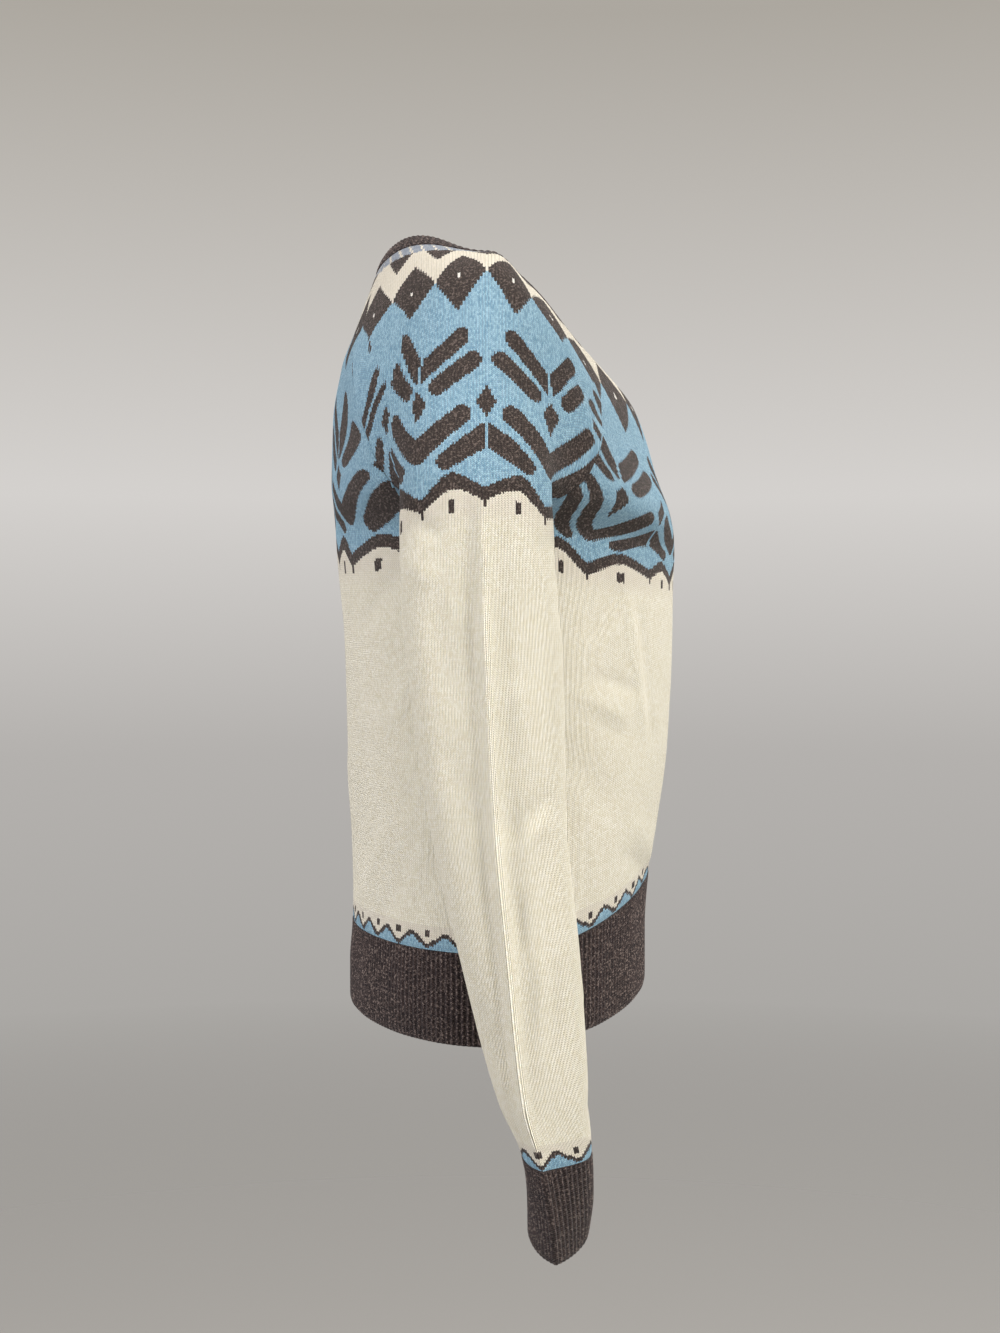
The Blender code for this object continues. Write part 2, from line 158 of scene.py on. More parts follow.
SleeveCourse = namedtuple("SleeveCourse", "course ridge front_y back_y inner crease inner_crease")
SLEEVE = [
    SleeveCourse(197, (202, -14, -208), -63, 48, (153, 2, -247), 84, 88),
    SleeveCourse(262, (206, -15, -272), -66, 46, (157, -4, -302), 76, 86),
    SleeveCourse(303, (208, -16, -313), -70, 43, (159, -8, -338), 72, 84),
    SleeveCourse(417, (213, -21, -427), -72, 28, (165, -16, -440), 68, 80),
    SleeveCourse(530, (221, -31, -540), -82, 3, (174, -34, -547), 64, 76),
    SleeveCourse(630, (226, -42, -639), -88, -23, (174, -54, -640), 54, 66),
    SleeveCourse(673, (225, -54, -683), -90, -40, (163, -64, -675), 46, 58),
    SleeveCourse(710, (217, -60, -719), -91, -44, (152, -68, -705), 44, 54),
    SleeveCourse(747, (205, -64, -755), -88, -45, (139, -67, -733), 44, 54),
]

BODY_FULLNESS = {"front": 1.28, "back": 1.12}
OVAL = {"front": 1.7, "back": 1.62}
SEAM_TURN_START, SEAM_TURN_END = 105, 176
VALLEY_LEAN = np.array([0.35, 1.0, 1.0])
EDGE_TURN = np.array([0.0, 0.8, 0.0])
SLEEVE_FULLNESS = 1.12
SAMPLES_A_SPAN = 96

# Where the fair isle repeat comes to lie on the drawn cloth.  At each course, `near`
# and `far` are the distances from the piece's middle at which two axes of the chart
# stand, and `near_course` and `far_course` the courses of the chart that show there.
# The next axis is `beyond` farther out, and shows the chart `lower` courses farther down.
Place = namedtuple("Place", "course near far near_course far_course beyond lower",
                   defaults=(HALF_REPEAT, 0))
SLEEVE_FRONT_PLACES = [
    Place(7, 35, 70, 7, 7), Place(45, 40, 82, 45, 47), Place(60, 42, 94, 60, 80),
    Place(76, 44, 98, 76, 102), Place(92, 48, 94, 92, 113), Place(115, 51, 106, 115, 144),
    Place(135, 52, 116, 135, 167), Place(150, 52, 116, 150, 175), Place(168, 52, 108, 168, 182),
    Place(183, 50, 96, 183, 188), Place(200, 46.2, 92.4, 200, 200), Place(673, 46.2, 92.4, 673, 673),
]
SLEEVE_BACK_PLACES = [
    Place(7, 35, 70, 7, 7), Place(45, 40, 80, 45, 46), Place(62, 42, 80, 62, 72),
    Place(79, 43, 77, 79, 93, 42, -34), Place(90, 45, 75, 90, 99, 42, -38),
    Place(104, 48, 74, 104, 106, 42, -40), Place(118, 51, 76, 118, 114, 42, -40),
    Place(130, 52, 80, 130, 128, 42, -34), Place(142, 52, 82, 142, 145, 44, -22),
    Place(154, 52, 84, 154, 152, 44, -8), Place(168, 52, 88, 168, 164), Place(183, 50, 92, 183, 183),
    Place(200, 46.2, 92.4, 200, 200), Place(673, 46.2, 92.4, 673, 673),
]
FRONT_PLACES = [
    Place(7, 47, 88, 7, 7), Place(50, 58, 107, 50, 50), Place(78, 64, 120, 76, 76),
    Place(104, 68, 127, 97, 88), Place(134, 72, 139, 121, 109, 46, 16),
    Place(154, 82, 146, 135, 127, 46, 30), Place(166, 91, 150, 144, 140, 46, 30),
    Place(176, 92, 153, 158, 154, 46, 24), Place(184, 90, 155, 173, 177, 46, 14),
    Place(210, 86, 156, 206, 206, 46, 8), Place(240, 88, 150, 240, 240),
    Place(330, 92.4, 138.6, 330, 330), Place(487, 92.4, 138.6, 487, 487),
]
BACK_PLACES = [
    Place(7, 45, 68, 7, 7), Place(78, 70, 105, 76, 76), Place(110, 78, 118, 96, 96),
    Place(134, 84, 140, 114, 112), Place(150, 88, 160, 134, 130), Place(168, 90, 170, 161, 158),
    Place(180, 90, 175, 180, 180), Place(205, 84, 172, 205, 205), Place(240, 86, 160, 240, 240),
    Place(330, 92.4, 138.6, 330, 330), Place(487, 92.4, 138.6, 487, 487),
]

# Soft folds.  Each runs from one place of its piece to another, given as millimetres
# across from the middle and down from the neck edge.  `width` is half its width and
# `depth` its height above the cloth, in millimetres: a trough has a depth below zero.
Fold = namedtuple("Fold", "across course to_across to_course width depth")
SLEEVE_FOLDS = [
    # the fold pressed down the outside of the sleeve, and the grooves beside it
    Fold(2, 192, 2, 330, 5.2, 2.0),
    Fold(2, 270, 1, 500, 5.0, 2.0),
    Fold(1, 430, 0, 672, 4.8, 2.2),
    Fold(12, 196, 12, 420, 4.2, -1.7),
    Fold(12, 370, 10, 668, 4.0, -1.6),
    Fold(-11, 202, -12, 460, 6.0, -1.5),
    Fold(-12, 400, -10, 600, 6.0, -1.4),
    # soft creases where the cloth gathers
    Fold(-4, 444, -44, 408, 6, -2.2),
    Fold(-6, 458, -42, 426, 6, 1.5),
    Fold(-12, 482, -9, 522, 4, -1.4),
    Fold(-27, 522, -14, 610, 6, 1.9),
    Fold(-36, 526, -25, 600, 6, -1.6),
    Fold(32, 376, 12, 440, 8, -1.5),
    Fold(28, 556, 8, 604, 6, -1.4),
    Fold(22, 600, 4, 640, 5, 1.0),
    Fold(40, 262, 24, 360, 9, -1.2),
    Fold(-36, 250, -22, 340, 9, -1.1),
    Fold(-20, 330, -32, 400, 8, 1.1),
    # cloth pushed together under the arm
    Fold(60, 205, 30, 228, 7, -1.8),
    Fold(-62, 212, -34, 236, 7, -1.7),
    Fold(64, 228, 40, 262, 8, 1.4),
    Fold(118, 230, 80, 290, 10, -1.8),
    Fold(-120, 236, -84, 300, 10, -1.9),
    Fold(112, 360, 70, 430, 9, -1.7),
    Fold(-108, 372, -60, 452, 9, -1.6),
    Fold(96, 470, 52, 520, 8, 1.4),
    Fold(-100, 500, -62, 560, 8, 1.3),
    Fold(70, 585, 34, 640, 7, -1.2),
    Fold(-80, 600, -40, 655, 7, -1.4),
]
FRONT_FOLDS = [
    # a soft ridge below each side of the chest, and the trough in front of it
    Fold(-117, 222, -90, 350, 7, 2.4),
    Fold(-103, 228, -76, 356, 8, -2.1),
    Fold(112, 226, 92, 336, 7, 2.1),
    Fold(100, 232, 80, 346, 8, -1.9),
    Fold(-122, 216, -158, 262, 8, -2.1),
    Fold(122, 220, 158, 270, 8, -1.9),
    Fold(-158, 288, -98, 304, 7, -2.0),
    Fold(-172, 302, -112, 326, 8, 1.6),
    Fold(-150, 322, -116, 344, 7, -1.3),
    Fold(150, 298, 104, 316, 8, -1.7),
    Fold(-198, 330, -122, 404, 13, -1.9),
    Fold(186, 350, 118, 416, 13, -1.7),
    Fold(-30, 300, -44, 440, 15, -1.7),
    Fold(24, 320, 36, 452, 14, 1.6),
    Fold(-110, 412, -34, 472, 11, 1.7),
    Fold(-124, 436, -46, 486, 9, -1.6),
    Fold(112, 424, 50, 476, 11, 1.4),
    Fold(-226, 250, -200, 330, 8, -1.6),
    Fold(228, 256, 204, 340, 8, -1.5),
]
BACK_FOLDS = [
    Fold(-150, 215, -96, 250, 10, -1.8),
    Fold(148, 218, 92, 258, 10, -1.6),
    Fold(-176, 252, -130, 330, 10, 1.6),
    Fold(172, 262, 132, 338, 10, 1.4),
    Fold(-92, 326, -60, 440, 14, -1.8),
    Fold(70, 316, 52, 428, 13, -1.6),
    Fold(-10, 350, 8, 462, 16, 1.6),
    Fold(-134, 396, -70, 470, 10, 1.6),
    Fold(-156, 420, -104, 484, 9, -1.4),
    Fold(138, 392, 80, 470, 10, -1.5),
    Fold(-192, 388, -152, 472, 9, -1.5),
    Fold(186, 380, 160, 466, 9, 1.3),
]
# The rib stands out in soft waves round the hem and the cuffs
HEM_FOLDS = [
    Fold(-150, 480, -140, 560, 16, 1.2),
    Fold(-70, 480, -62, 560, 18, -1.2),
    Fold(20, 480, 30, 560, 20, 1.1),
    Fold(104, 480, 96, 560, 17, -1.1),
    Fold(178, 480, 170, 560, 15, 1.0),
    Fold(-212, 480, -206, 560, 12, -0.9),
]
CUFF_FOLDS = [
    Fold(2, 668, -4, 752, 7, 1.0),
    Fold(-30, 668, -24, 752, 9, -1.0),
    Fold(34, 668, 28, 752, 9, -0.9),
    Fold(-60, 668, -56, 752, 10, 0.8),
]


def smooth_columns(stations, values, at):
    """Read smooth curves through `values` at the courses `at`, with no overshoot.

    Each column of `values` is a cubic in every interval.  Its slope at a station
    is the harmonic mean of the two intervals' slopes, or zero where they disagree.
    """
    stations = np.asarray(stations, float)
    values = np.asarray(values, float).reshape(len(stations), -1)
    at = np.asarray(at, float)
    steps = np.diff(stations)[:, None]
    rise = np.diff(values, axis=0) / steps
    product = rise[:-1] * rise[1:]
    total = rise[:-1] + rise[1:]
    inner = np.where(product > 0, 2 * product / np.where(product > 0, total, 1), 0)
    slope = np.vstack([rise[:1], inner, rise[-1:]])
    k = np.clip(np.searchsorted(stations, at, side="right") - 1, 0, len(stations) - 2)
    width = steps[k]
    t = (at - stations[k])[:, None] / width
    return ((2 * t**3 - 3 * t**2 + 1) * values[k] + (t**3 - 2 * t**2 + t) * width * slope[k]
            + (3 * t**2 - 2 * t**3) * values[k + 1] + (t**3 - t**2) * width * slope[k + 1])


def unit(vectors):
    """Scale vectors to length one."""
    length = np.linalg.norm(vectors, axis=-1, keepdims=True)
    return vectors / np.maximum(length, 1e-12)


def ease(low, high, at):
    """Rise smoothly from 0 at `low` to 1 at `high`, as 3 t squared less 2 t cubed."""
    t = np.clip((np.asarray(at, float) - low) / (high - low), 0, 1)
    return t * t * (3 - 2 * t)


def distance(start, end):
    """Straight distance between points, as a column."""
    return np.linalg.norm(end - start, axis=1, keepdims=True)


def guide(courses, upper_name, lower=(), lower_name=""):
    """One guide line, from its column of the yoke's table on into a lower table."""
    stations = [row.course for row in YOKE] + [row.course for row in lower]
    points = [getattr(row, upper_name) for row in YOKE] + [getattr(row, lower_name) for row in lower]
    return smooth_columns(stations, points, courses) * MM


def spans_to_row(spans, fractions):
    """Join cubic spans end to end and read them at even fractions of their length.

    A span is (start, end, leave, arrive): (courses, 3) arrays of its two ends and of
    its tangents there, whose lengths say how strongly each pulls.  It is the one cubic
    that has those ends and those tangents.
    """
    t = np.linspace(0, 1, SAMPLES_A_SPAN + 1)[None, :, None]
    pieces = []
    for start, end, leave, arrive in spans:
        curve = ((2 * t**3 - 3 * t**2 + 1) * start[:, None] + (t**3 - 2 * t**2 + t) * leave[:, None]
                 + (3 * t**2 - 2 * t**3) * end[:, None] + (t**3 - t**2) * arrive[:, None])
        pieces.append(curve if not pieces else curve[:, 1:])
    dense = np.concatenate(pieces, axis=1)
    return read_evenly(dense, fractions)


def read_evenly(dense, fractions):
    """Read each row of points at the same fractions of its own length."""
    steps = np.linalg.norm(np.diff(dense, axis=1), axis=2)
    run = np.concatenate([np.zeros((len(dense), 1)), np.cumsum(steps, axis=1)], axis=1)
    rows = [[np.interp(fractions * along[-1], along, line[:, axis]) for axis in range(3)]
            for line, along in zip(dense, run)]
    return np.array(rows).transpose(0, 2, 1)


def body_half(which, courses, fractions):
    """Half of the front or back, from its centre to its seam on the wearer's right.

    High on the shoulder its curve runs straight on into the sleeve.  Toward the
    armpit and below it, it turns to a quarter of an oval that ends along the side.
    """
    centre = guide(courses, which, BODY, which)
    seam = guide(courses, which + "_seam", BODY, "side")
    edge = guide(np.minimum(courses, ARMPIT), which + "_edge")
    turned = ease(SEAM_TURN_START, SEAM_TURN_END, courses)[:, None]
    across = np.abs(seam - centre) * np.array([1.0, 0.0, 0.0])
    lengthwise = (seam - centre) * np.array([0.0, 1.0, 0.0])
    reach = BODY_FULLNESS[which] * distance(centre, seam)
    leave = (1 - turned) * reach * np.array([1.0, 0.0, 0.0]) + turned * OVAL[which] * across
    arrive = (1 - turned) * reach * unit(edge - centre) + turned * OVAL[which] * lengthwise
    return spans_to_row([(centre, seam, leave, arrive)], fractions)


def sleeve_half(which, courses, fractions):
    """Half of a sleeve, from its seam or its inner fold out to the ridge."""
    sign = -1 if which == "front" else 1
    ridge = guide(courses, "ridge", SLEEVE, "ridge")
    root = guide(courses, which + "_seam", SLEEVE, "inner")
    stations = [row.course for row in YOKE] + [row.course for row in SLEEVE]
    edges = [getattr(row, which + "_edge") for row in YOKE]
    for row in SLEEVE:
        out = (row.ridge[0] + row.inner[0]) / 2
        edges.append((out, getattr(row, which + "_y"), (row.ridge[2] + row.inner[2]) / 2))
    edge = smooth_columns(stations, edges, courses) * MM
    creases = [(90, 90)] * len(YOKE) + [(row.crease, row.inner_crease) for row in SLEEVE]
    crease, inner_crease = np.radians(smooth_columns(stations, creases, courses)).T
    zeros = np.zeros_like(crease)
    centre = guide(np.minimum(courses, ARMPIT), which)
    turned = ease(SEAM_TURN_START, SEAM_TURN_END, courses)[:, None]
    tube = ease(ARMPIT - 4, ARMPIT + 8, courses)[:, None]
    straight_on = unit(edge - centre)
    into_valley = unit((edge - root) * VALLEY_LEAN)
    round_inside = np.stack([np.cos(inner_crease), sign * np.sin(inner_crease), zeros], axis=1)
    leave = unit((1 - tube) * ((1 - turned) * straight_on + turned * into_valley) + tube * round_inside)
    through = unit((ridge - root) * (1 - turned * EDGE_TURN))
    at_ridge = np.stack([np.cos(crease), -sign * np.sin(crease), zeros], axis=1)
    first = SLEEVE_FULLNESS * distance(root, edge)
    second = SLEEVE_FULLNESS * distance(edge, ridge)
    return spans_to_row([(root, edge, first * leave, first * through),
                         (edge, ridge, second * through, second * at_ridge)], fractions)


def mirrored(grid, side):
    """Put a grid whose x is `out from the centre plane` on one side of the wearer."""
    return grid * np.array([side, 1.0, 1.0])


def front_or_back(which, courses, columns):
    """A whole front or back, from the right seam across to the left one."""
    fractions = np.linspace(0, 1, columns // 2 + 1)
    half = body_half(which, np.asarray(courses, float), fractions)
    return np.concatenate([mirrored(half, RIGHT)[:, ::-1], mirrored(half, LEFT)[:, 1:]], axis=1)


def sleeve_grid(side, courses, columns):
    """A whole sleeve, from its front seam over the ridge to its back seam."""
    fractions = np.linspace(0, 1, columns // 2 + 1)
    courses = np.asarray(courses, float)
    front = mirrored(sleeve_half("front", courses, fractions), side)
    back = mirrored(sleeve_half("back", courses, fractions), side)[:, ::-1]
    return np.concatenate([front, back[:, 1:]], axis=1)


def outward_normals(grid, facing, closed=False):
    """Unit normals of a grid, turned to the side `facing` says.

    A normal is the cross product of the steps across and down the grid.
    """
    if closed:
        across = np.roll(grid, -1, axis=1) - np.roll(grid, 1, axis=1)
    else:
        across = np.gradient(grid, axis=1)
    return unit(np.cross(across, np.gradient(grid, axis=0))) * facing


def across_from_middle(grid, closed=False):
    """Distance of each point along its row from the row's middle, in millimetres."""
    steps = np.linalg.norm(np.diff(grid, axis=1), axis=2) / MM
    run = np.concatenate([np.zeros((len(grid), 1)), np.cumsum(steps, axis=1)], axis=1)
    return run if closed else run - run[:, [run.shape[1] // 2]]


def chart_places(places, near_axis, far_axis, across, courses):
    """The chart's own millimetres across and down at each point of a piece.

    Between the middle and the axes a point's place runs evenly from one to the next.
    """
    stations = [place.course for place in places]
    chart = np.empty(across.shape + (2,))
    table = smooth_columns(stations, [place[1:] for place in places], courses)
    for i, (near, far, near_course, far_course, beyond, lower) in enumerate(table):
        out = np.abs(across[i])
        knots = [0, near, far, far + beyond]
        axes = [0, near_axis, far_axis, far_axis + HALF_REPEAT]
        past = np.maximum(out - knots[-1], 0) * HALF_REPEAT / beyond
        chart[i, :, 0] = np.sign(across[i]) * (np.interp(out, knots, axes) + past)
        chart[i, :, 1] = np.interp(out, knots, [courses[i], near_course, far_course, far_course + lower])
    return chart


def fold_heights(folds, across, courses):
    """Height of all folds together, in metres.

    Across a fold the height falls off as the bell curve exp(-(d / width) squared),
    and along it the fold swells from nothing at its ends as 1 - (2q - 1) to the
    fourth, where q runs from 0 to 1.
    """
    total = np.zeros_like(across)
    for fold in folds:
        run = np.array([fold.to_across - fold.across, fold.to_course - fold.course], float)
        length = np.linalg.norm(run)
        run /= length
        right, down = across - fold.across, courses[:, None] - fold.course
        along = (right * run[0] + down * run[1]) / length
        off = right * run[1] - down * run[0]
        swell = np.clip(1 - (2 * np.clip(along, 0, 1) - 1) ** 4, 0, 1)
        total += fold.depth * swell * np.exp(-(off / fold.width) ** 2)
    return total * MM


def wall_faces(rows, columns, closed):
    """Quads of a closed wall: outer grid, inner grid behind it, and the rims between."""
    spans = columns if closed else columns - 1
    i, j = np.meshgrid(np.arange(rows - 1), np.arange(spans), indexing="ij")
    i, j = i.ravel(), j.ravel()
    nxt = (j + 1) % columns
    outer = np.stack([i * columns + j, i * columns + nxt,
                      (i + 1) * columns + nxt, (i + 1) * columns + j], axis=1)
    back = rows * columns
    inner = outer[:, ::-1] + back
    j = np.arange(spans)
    nxt = (j + 1) % columns
    last = (rows - 1) * columns
    rims = [np.stack([j, j + back, nxt + back, nxt], axis=1),
            np.stack([last + j, last + nxt, last + nxt + back, last + j + back], axis=1)]
    if not closed:
        top, down = np.arange(rows - 1) * columns, np.arange(1, rows) * columns
        end = columns - 1
        rims.append(np.stack([top, down, down + back, top + back], axis=1))
        rims.append(np.stack([top + end, top + end + back, down + end + back, down + end], axis=1))
    return outer, inner, np.concatenate(rims)


def wall_piece(name, outer, inner, places, materials, closed=False, outward=1):
    """Make one closed wall and give each point its place in the knitting.

    `places` names pairs of numbers for each outer point: "knit" is its wales and
    courses, "chart" its millimetres across and down the fair isle chart, and
    "chart_step" how far a wale and a course reach there.  The outside and the rims
    take the first material and the inside the second.
    """
    rows, columns = outer.shape[:2]
    outside, inside, rims = wall_faces(rows, columns, closed)
    faces = np.concatenate([outside, inside, rims])
    if outward < 0:
        faces = faces[:, ::-1]
    points = np.concatenate([outer.reshape(-1, 3), inner.reshape(-1, 3)])
    mesh = bpy.data.meshes.new(name + "_cloth")
    mesh.from_pydata(points, [], faces)
    for material in materials:
        mesh.materials.append(material)
    slots = np.zeros(len(faces), np.int32)
    slots[len(outside):len(outside) + len(inside)] = len(materials) - 1
    mesh.polygons.foreach_set("material_index", slots)
    for word, pairs in places.items():
        flat = np.concatenate([pairs.reshape(-1, 2)] * 2)
        flat = np.concatenate([flat, np.zeros((len(flat), 1))], axis=1)
        attribute = mesh.attributes.new(word, "FLOAT_VECTOR", "POINT")
        attribute.data.foreach_set("vector", flat.astype(np.float32).ravel())
    mesh.shade_smooth()
    mesh.set_sharp_from_angle(angle=np.radians(60))
    mesh.validate()
    piece = bpy.data.objects.new(name + "_cloth", mesh)
    bpy.context.scene.collection.objects.link(piece)
    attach(piece, "root")
    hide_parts(name)
    return piece


def srgb(hex_colour):
    """Turn an sRGB hex colour to linear red, green, blue and alpha."""
    parts = [int(hex_colour[k:k + 2], 16) / 255 for k in (1, 3, 5)]
    return tuple(p / 12.92 if p <= 0.04045 else ((p + 0.055) / 1.055) ** 2.4 for p in parts) + (1.0,)


def add_node(tree, kind, settings=None, inputs=None, output=0):
    """Add one node, set its properties, fill or link its inputs, and return an output.

    A node that has no outputs, such as the material's last one, returns nothing.
    """
    node = tree.nodes.new(kind)
    for key, value in (settings or {}).items():
        setattr(node, key, value)
    for key, value in (inputs or {}).items():
        socket = node.inputs[key]
        if isinstance(value, bpy.types.NodeSocket):
            tree.links.new(value, socket)
        else:
            socket.default_value = value
    return node.outputs[output] if len(node.outputs) else None


class Term:
    """A number worked out by the material, so that a chart reads as arithmetic."""

    tree = None

    def __init__(self, socket):
        self.socket = socket

    @staticmethod
    def of(operation, *values):
        """The outcome of one operation on terms and plain numbers."""
        inputs = {k: v.socket if isinstance(v, Term) else float(v) for k, v in enumerate(values)}
        return Term(add_node(Term.tree, "ShaderNodeMath", {"operation": operation}, inputs))

    def __add__(self, other):
        return Term.of("ADD", self, other)

    def __radd__(self, other):
        return Term.of("ADD", other, self)

    def __sub__(self, other):
        return Term.of("SUBTRACT", self, other)

    def __rsub__(self, other):
        return Term.of("SUBTRACT", other, self)

    def __mul__(self, other):
        return Term.of("MULTIPLY", self, other)

    def __rmul__(self, other):
        return Term.of("MULTIPLY", other, self)

    def __truediv__(self, other):
        return Term.of("DIVIDE", self, other)

    def __lt__(self, other):
        return Term.of("LESS_THAN", self, other)

    def __gt__(self, other):
        return Term.of("GREATER_THAN", self, other)

    def __abs__(self):
        return Term.of("ABSOLUTE", self)


def smaller(a, b):
    """The smaller of two numbers."""
    return Term.of("MINIMUM", a, b)


def larger(a, b):
    """The larger of two numbers."""
    return Term.of("MAXIMUM", a, b)


def within(value, low, high):
    """1 where `value` lies between `low` and `high`, else 0."""
    return (value > low) * (value < high)


def any_of(*masks):
    """1 where any mask is 1."""
    total = masks[0]
    for mask in masks[1:]:
        total = larger(total, mask)
    return total


def on_leaf(x, t, leaf):
    """1 on a leaf: within its radius of the line from its start to its end.

    The radius changes evenly along the line to the end's.
    """
    start, end = np.array(leaf.start, float), np.array(leaf.end, float)
    length = float(np.linalg.norm(end - start))
    dx, dt = (float(part) for part in (end - start) / length)
    px, pt = x - float(start[0]), t - float(start[1])
    along = smaller(larger(px * dx + pt * dt, 0), length)
    gap_x, gap_t = px - along * dx, pt - along * dt
    reach = along * ((leaf.end_radius - leaf.radius) / length) + leaf.radius
    squared = reach * reach
    return gap_x * gap_x + gap_t * gap_t < squared


def on_diamond(x, t, shape):
    """1 inside a diamond on the line x = 0."""
    upper = (t - shape.top) * (shape.half_width / (shape.middle - shape.top))
    lower = (shape.bottom - t) * (shape.half_width / (shape.bottom - shape.middle))
    return x < smaller(upper, lower)


def ramp(value, low, high):
    """Rise evenly from 0 at `low` to 1 at `high`."""
    return smaller(larger((value - low) / (high - low), 0), 1)


Stitch = namedtuple("Stitch", "wales courses slanted wale course")


def read_pair(tree, word):
    """The two numbers that each point of a piece carries under this name."""
    place = add_node(tree, "ShaderNodeAttribute", {"attribute_name": word}, output="Vector")
    split = tree.nodes.new("ShaderNodeSeparateXYZ")
    tree.links.new(place, split.inputs[0])
    return Term(split.outputs["X"]), Term(split.outputs["Y"])


def stitch_place(tree):
    """Where a point lies in the knitting, and the stitch it belongs to.

    A stocking stitch is a V, so a stitch's lower edge rises from its middle to its
    two sides.  `wales` and `courses` are running numbers, `wale` and `course` the
    whole numbers of the stitch, counted so that wale 0 is on the middle, and
    `slanted` is `courses` with the legs of the V straightened.
    """
    wales, courses = read_pair(tree, "knit")
    across = Term.of("FRACT", wales + 0.5)
    slanted = courses + abs(across - 0.5) * LEG_SLOPE
    return Stitch(wales, courses, slanted, Term.of("FLOOR", wales + 0.5), Term.of("FLOOR", slanted))


def fair_isle(tree, stitch, middle_is_b, rib_top):
    """The fair isle chart.  Returns masks of brown, light blue, pale band, white, and
    of the cream that has yarns carried behind it.

    Every point of a stitch takes the chart's value at the stitch's centre.  x is the
    distance in millimetres from the nearest A axis, where the big V stands, `from_b`
    that from the nearest B axis and `from_mid` that from midway between them.  t is
    the distance down from the neck edge.
    """
    chart_s, chart_t = read_pair(tree, "chart")
    a_wale, a_course = read_pair(tree, "chart_step")
    s = chart_s - (stitch.wales - stitch.wale) * a_wale + (HALF_REPEAT if middle_is_b else 0)
    t = chart_t - (stitch.courses - stitch.course - 0.5) * a_course
    x = abs(Term.of("WRAP", s, HALF_REPEAT, -HALF_REPEAT))
    from_b = abs(x - HALF_REPEAT)
    from_mid = abs(x - HALF_REPEAT / 2)
    from_axis = smaller(x, from_b)
    one_stitch = WALE * 0.6

    top_triangles = (t > BAND_END) * (from_axis < (TRIANGLE_POINT - t) * TRIANGLE_SLOPE)
    rounded = larger(LARGE_WIDEST - t, 0) / (LARGE_WIDEST - LARGE_TOP)
    rounded_top = (1 - rounded * Term.of("SQRT", rounded)) * LARGE_HALF_WIDTH
    large_diamonds = (t > LARGE_TOP) * (from_mid < rounded_top)
    large_diamonds = large_diamonds * (from_mid < (LARGE_POINT - t) * LARGE_SLOPE)
    white_dot = within(t, DOT_TOP, DOT_END) * (from_mid < one_stitch)

    off_a = x > one_stitch
    off_b = from_b > one_stitch
    first_leaf = on_leaf(x, t, FIRST_LEAF) * off_a
    second_leaf = on_leaf(x, t, SECOND_LEAF)
    diamond_on_a = on_diamond(x, t, DIAMOND_ON_A)
    big_v = on_leaf(x, t, ARM_OF_V)
    diamond_on_b = on_diamond(from_b, t, DIAMOND_ON_B)
    low_leaf = on_leaf(from_b, t, LOW_LEAF) * off_b

    # the zigzag falls by 1 in 2 to each axis, its peaks are rounded, and it is lowest on A
    rise = (Term.of("SQRT", from_mid * from_mid + PEAK_ROUNDING ** 2) - PEAK_ROUNDING) * 0.5
    wave = t - (rise + BORDER_MIDDLE + LOWEST_ON_A * ramp(HALF_REPEAT / 2 - x, 0, 20))
    border = abs(wave) < BORDER_HALF_HEIGHT
    border_tails = within(wave, 0, 2 * BORDER_HALF_HEIGHT) * (from_axis < one_stitch)
    two_wales = within(x, HALF_REPEAT / 2 - 1.6 * WALE, HALF_REPEAT / 2 + 0.5 * WALE)
    ticks = within(t, TICK_TOP, TICK_END) * two_wales

    # a row of small hills stands on the rib, three to a repeat, with ticks between them
    up = rib_top - t
    half_hill = HALF_REPEAT / 3
    hill = abs(Term.of("WRAP", s, half_hill, -half_hill))
    slope = smaller(10.6 - hill * 0.64, HILL_HEIGHT)
    outline = within(up, -1, HILL_ZONE) * within(slope - up, -2.4, 1.1)
    hill_blue = within(up, -3, HILL_ZONE) * (up < slope)
    low_ticks = within(up, LOW_TICK_START, LOW_TICK_END) * (hill > half_hill - 1.2 * WALE)

    brown = any_of(top_triangles, large_diamonds, first_leaf, second_leaf, diamond_on_a, big_v,
                   diamond_on_b, low_leaf, border, border_tails, ticks, outline, low_ticks)
    brown = brown * (1 - white_dot)
    blue = larger((t > LARGE_WIDEST) * (wave < 0), hill_blue)
    band = t < BAND_END
    slanted_line = Term.of("WRAP", s + t * LINE_SLOPE, LINE_SPACING, 0) < LINE_WIDTH
    carried = any_of(t < LARGE_WIDEST, (1 - ramp(chart_t, 206, 222)) * (wave > 0), up < 17)
    return brown, blue, band * (1 - slanted_line), white_dot, carried


def new_material(name):
    """An empty material, whose node tree the chart's arithmetic is added to."""
    material = bpy.data.materials.new(name)
    material.use_nodes = True
    material.node_tree.nodes.clear()
    Term.tree = material.node_tree
    return material, material.node_tree


def laid_over(tree, colour, coats):
    """Lay coats over a colour, in their order.  Each is a mask from 0 to 1 and its colour."""
    for mask, coat in coats:
        inputs = {0: mask.socket, 6: colour, 7: coat}
        colour = add_node(tree, "ShaderNodeMix", {"data_type": "RGBA"}, inputs, output=2)
    return colour


def random_by(strand, course, seed):
    """A number from 0 to 1 that is the same all along one strand in one course."""
    numbers = {0: strand.socket, 1: course.socket, 2: float(seed)}
    place = add_node(Term.tree, "ShaderNodeCombineXYZ", inputs=numbers)
    return Term(add_node(Term.tree, "ShaderNodeTexWhiteNoise", {"noise_dimensions": "3D"}, {"Vector": place}))


def cloth_noise(scale, detail=2.0):
    """Soft noise over the cloth from 0 to 1, with `scale` features a metre."""
    place = add_node(Term.tree, "ShaderNodeTexCoord", output="Object")
    inputs = {"Vector": place, "Scale": scale, "Detail": detail}
    return Term(add_node(Term.tree, "ShaderNodeTexNoise", inputs=inputs))


